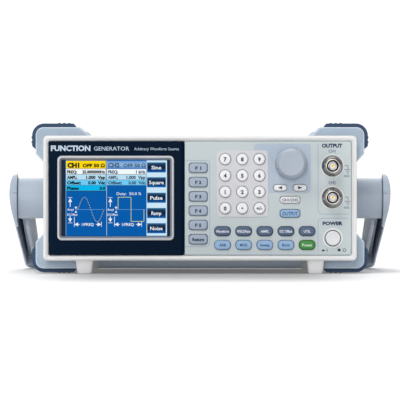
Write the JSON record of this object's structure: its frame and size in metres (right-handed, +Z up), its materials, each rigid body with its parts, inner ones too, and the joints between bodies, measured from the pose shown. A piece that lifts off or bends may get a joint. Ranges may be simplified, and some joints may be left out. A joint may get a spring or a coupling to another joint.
{
  "type": "function generator",
  "caption": "Bench function generator with colour screen, number pad, encoder knob, two coaxial outputs, corner guards and a swing carry handle.",
  "frame": {"origin": "on the bench, under the middle of the whole object's box", "axes": "+X to the right as seen from the front, +Y from the front to the rear, +Z up"},
  "size_m": [0.268, 0.2876, 0.1045],
  "materials": {
    "bezel_ivory": "fine satin moulding",
    "panel_pale": "smooth satin overlay with printed labels",
    "window_navy": "glossy dark navy acrylic",
    "frame_silver": "satin silver lacquer",
    "screen": "lit colour screen behind clear glass",
    "pad_light": "satin moulding",
    "key_white": "soft satin silicone",
    "key_steel_blue": "soft satin silicone",
    "key_dark_blue": "soft satin silicone",
    "key_light_blue": "soft satin silicone",
    "key_green": "soft satin silicone",
    "knob_gray": "satin soft-touch moulding",
    "guard_blue": "fine sand texture",
    "guard_rubber": "matt with moulded ribs",
    "handle_blue": "fine satin moulding",
    "case_paint": "powder coat",
    "rear_paint": "powder coat",
    "nickel": "polished nickel plating",
    "insulator": "white insulator with gilt contact",
    "board_green": "solder mask",
    "steel": "zinc plated",
    "black_plastic": "fine satin moulding",
    "foot_white": "satin moulding"
  },
  "bodies": {
    "case": {"front_bezel": "bezel_ivory", "front_panel": "panel_pale", "display_window": "window_navy", "display_frame": "frame_silver", "lcd_panel": "screen", "keypad_plate": "pad_light", "front_board": "board_green", "bnc_shells": "nickel", "bnc_cores": "insulator", "top_cover": "case_paint", "base_chassis": "case_paint", "rear_panel": "rear_paint", "corner_guards": "guard_blue", "guard_rubbers": "guard_rubber", "feet": "foot_white", "pivot_hubs": "handle_blue", "main_board": "board_green", "power_supply": "board_green", "fan_frame": "black_plastic", "mains_inlet": "black_plastic", "usb_ports": "steel", "screws": "steel"},
    "key_7": {"key_7": "key_white"},
    "key_8": {"key_8": "key_white"},
    "key_9": {"key_9": "key_white"},
    "key_4": {"key_4": "key_white"},
    "key_5": {"key_5": "key_white"},
    "key_6": {"key_6": "key_white"},
    "key_1": {"key_1": "key_white"},
    "key_2": {"key_2": "key_white"},
    "key_3": {"key_3": "key_white"},
    "key_0": {"key_0": "key_white"},
    "key_point": {"key_point": "key_white"},
    "key_sign": {"key_sign": "key_white"},
    "key_f1": {"key_f1": "key_steel_blue"},
    "key_f2": {"key_f2": "key_steel_blue"},
    "key_f3": {"key_f3": "key_steel_blue"},
    "key_f4": {"key_f4": "key_steel_blue"},
    "key_f5": {"key_f5": "key_steel_blue"},
    "key_return": {"key_return": "key_steel_blue"},
    "key_waveform": {"key_waveform": "key_dark_blue"},
    "key_frequency": {"key_frequency": "key_dark_blue"},
    "key_amplitude": {"key_amplitude": "key_dark_blue"},
    "key_offset": {"key_offset": "key_dark_blue"},
    "key_utility": {"key_utility": "key_dark_blue"},
    "key_arb": {"key_arb": "key_light_blue"},
    "key_mod": {"key_mod": "key_light_blue"},
    "key_sweep": {"key_sweep": "key_light_blue"},
    "key_burst": {"key_burst": "key_light_blue"},
    "key_preset": {"key_preset": "key_green"},
    "key_left": {"key_left": "key_white"},
    "key_right": {"key_right": "key_white"},
    "key_channel_select": {"key_channel_select": "key_white"},
    "key_output": {"key_output": "key_light_blue"},
    "power_button": {"power_button": "foot_white"},
    "encoder": {"encoder_knob": "knob_gray", "encoder_shaft": "steel"},
    "handle": {"carry_handle": "handle_blue"},
    "fan_rotor": {"fan_impeller": "black_plastic"},
    "fuse_drawer": {"fuse_drawer": "black_plastic"}
  },
  "joints": [
    {"name": "key_7_press", "type": "slide", "parent": "case", "child": "key_7", "axis": [0, 1, 0], "range_m": [0, 0.001], "stiffness_N_per_m": 500},
    {"name": "key_8_press", "type": "slide", "parent": "case", "child": "key_8", "axis": [0, 1, 0], "range_m": [0, 0.001], "stiffness_N_per_m": 500},
    {"name": "key_9_press", "type": "slide", "parent": "case", "child": "key_9", "axis": [0, 1, 0], "range_m": [0, 0.001], "stiffness_N_per_m": 500},
    {"name": "key_4_press", "type": "slide", "parent": "case", "child": "key_4", "axis": [0, 1, 0], "range_m": [0, 0.001], "stiffness_N_per_m": 500},
    {"name": "key_5_press", "type": "slide", "parent": "case", "child": "key_5", "axis": [0, 1, 0], "range_m": [0, 0.001], "stiffness_N_per_m": 500},
    {"name": "key_6_press", "type": "slide", "parent": "case", "child": "key_6", "axis": [0, 1, 0], "range_m": [0, 0.001], "stiffness_N_per_m": 500},
    {"name": "key_1_press", "type": "slide", "parent": "case", "child": "key_1", "axis": [0, 1, 0], "range_m": [0, 0.001], "stiffness_N_per_m": 500},
    {"name": "key_2_press", "type": "slide", "parent": "case", "child": "key_2", "axis": [0, 1, 0], "range_m": [0, 0.001], "stiffness_N_per_m": 500},
    {"name": "key_3_press", "type": "slide", "parent": "case", "child": "key_3", "axis": [0, 1, 0], "range_m": [0, 0.001], "stiffness_N_per_m": 500},
    {"name": "key_0_press", "type": "slide", "parent": "case", "child": "key_0", "axis": [0, 1, 0], "range_m": [0, 0.001], "stiffness_N_per_m": 500},
    {"name": "key_point_press", "type": "slide", "parent": "case", "child": "key_point", "axis": [0, 1, 0], "range_m": [0, 0.001], "stiffness_N_per_m": 500},
    {"name": "key_sign_press", "type": "slide", "parent": "case", "child": "key_sign", "axis": [0, 1, 0], "range_m": [0, 0.001], "stiffness_N_per_m": 500},
    {"name": "key_f1_press", "type": "slide", "parent": "case", "child": "key_f1", "axis": [0, 1, 0], "range_m": [0, 0.001], "stiffness_N_per_m": 500},
    {"name": "key_f2_press", "type": "slide", "parent": "case", "child": "key_f2", "axis": [0, 1, 0], "range_m": [0, 0.001], "stiffness_N_per_m": 500},
    {"name": "key_f3_press", "type": "slide", "parent": "case", "child": "key_f3", "axis": [0, 1, 0], "range_m": [0, 0.001], "stiffness_N_per_m": 500},
    {"name": "key_f4_press", "type": "slide", "parent": "case", "child": "key_f4", "axis": [0, 1, 0], "range_m": [0, 0.001], "stiffness_N_per_m": 500},
    {"name": "key_f5_press", "type": "slide", "parent": "case", "child": "key_f5", "axis": [0, 1, 0], "range_m": [0, 0.001], "stiffness_N_per_m": 500},
    {"name": "key_return_press", "type": "slide", "parent": "case", "child": "key_return", "axis": [0, 1, 0], "range_m": [0, 0.001], "stiffness_N_per_m": 500},
    {"name": "key_waveform_press", "type": "slide", "parent": "case", "child": "key_waveform", "axis": [0, 1, 0], "range_m": [0, 0.001], "stiffness_N_per_m": 500},
    {"name": "key_frequency_press", "type": "slide", "parent": "case", "child": "key_frequency", "axis": [0, 1, 0], "range_m": [0, 0.001], "stiffness_N_per_m": 500},
    {"name": "key_amplitude_press", "type": "slide", "parent": "case", "child": "key_amplitude", "axis": [0, 1, 0], "range_m": [0, 0.001], "stiffness_N_per_m": 500},
    {"name": "key_offset_press", "type": "slide", "parent": "case", "child": "key_offset", "axis": [0, 1, 0], "range_m": [0, 0.001], "stiffness_N_per_m": 500},
    {"name": "key_utility_press", "type": "slide", "parent": "case", "child": "key_utility", "axis": [0, 1, 0], "range_m": [0, 0.001], "stiffness_N_per_m": 500},
    {"name": "key_arb_press", "type": "slide", "parent": "case", "child": "key_arb", "axis": [0, 1, 0], "range_m": [0, 0.001], "stiffness_N_per_m": 500},
    {"name": "key_mod_press", "type": "slide", "parent": "case", "child": "key_mod", "axis": [0, 1, 0], "range_m": [0, 0.001], "stiffness_N_per_m": 500},
    {"name": "key_sweep_press", "type": "slide", "parent": "case", "child": "key_sweep", "axis": [0, 1, 0], "range_m": [0, 0.001], "stiffness_N_per_m": 500},
    {"name": "key_burst_press", "type": "slide", "parent": "case", "child": "key_burst", "axis": [0, 1, 0], "range_m": [0, 0.001], "stiffness_N_per_m": 500},
    {"name": "key_preset_press", "type": "slide", "parent": "case", "child": "key_preset", "axis": [0, 1, 0], "range_m": [0, 0.001], "stiffness_N_per_m": 500},
    {"name": "key_left_press", "type": "slide", "parent": "case", "child": "key_left", "axis": [0, 1, 0], "range_m": [0, 0.001], "stiffness_N_per_m": 500},
    {"name": "key_right_press", "type": "slide", "parent": "case", "child": "key_right", "axis": [0, 1, 0], "range_m": [0, 0.001], "stiffness_N_per_m": 500},
    {"name": "key_channel_select_press", "type": "slide", "parent": "case", "child": "key_channel_select", "axis": [0, 1, 0], "range_m": [0, 0.001], "stiffness_N_per_m": 500},
    {"name": "key_output_press", "type": "slide", "parent": "case", "child": "key_output", "axis": [0, 1, 0], "range_m": [0, 0.001], "stiffness_N_per_m": 500},
    {"name": "power_button_press", "type": "slide", "parent": "case", "child": "power_button", "axis": [0, 1, 0], "range_m": [-0.003, 0.001]},
    {"name": "encoder_turn", "type": "hinge", "parent": "case", "child": "encoder", "pos_m": [0.063, -0.13088, 0.0762], "axis": [0, 1, 0], "continuous": true},
    {"name": "handle_swing", "type": "hinge", "parent": "case", "child": "handle", "pos_m": [0, -0.05488, 0.05225], "axis": [1, 0, 0], "range_deg": [0, 235]},
    {"name": "fan_spin", "type": "hinge", "parent": "case", "child": "fan_rotor", "pos_m": [0.052, 0.09712, 0.05225], "axis": [0, 1, 0], "continuous": true},
    {"name": "fuse_drawer_pull", "type": "slide", "parent": "case", "child": "fuse_drawer", "axis": [0, 1, 0], "range_m": [0, 0.018]}
  ]
}
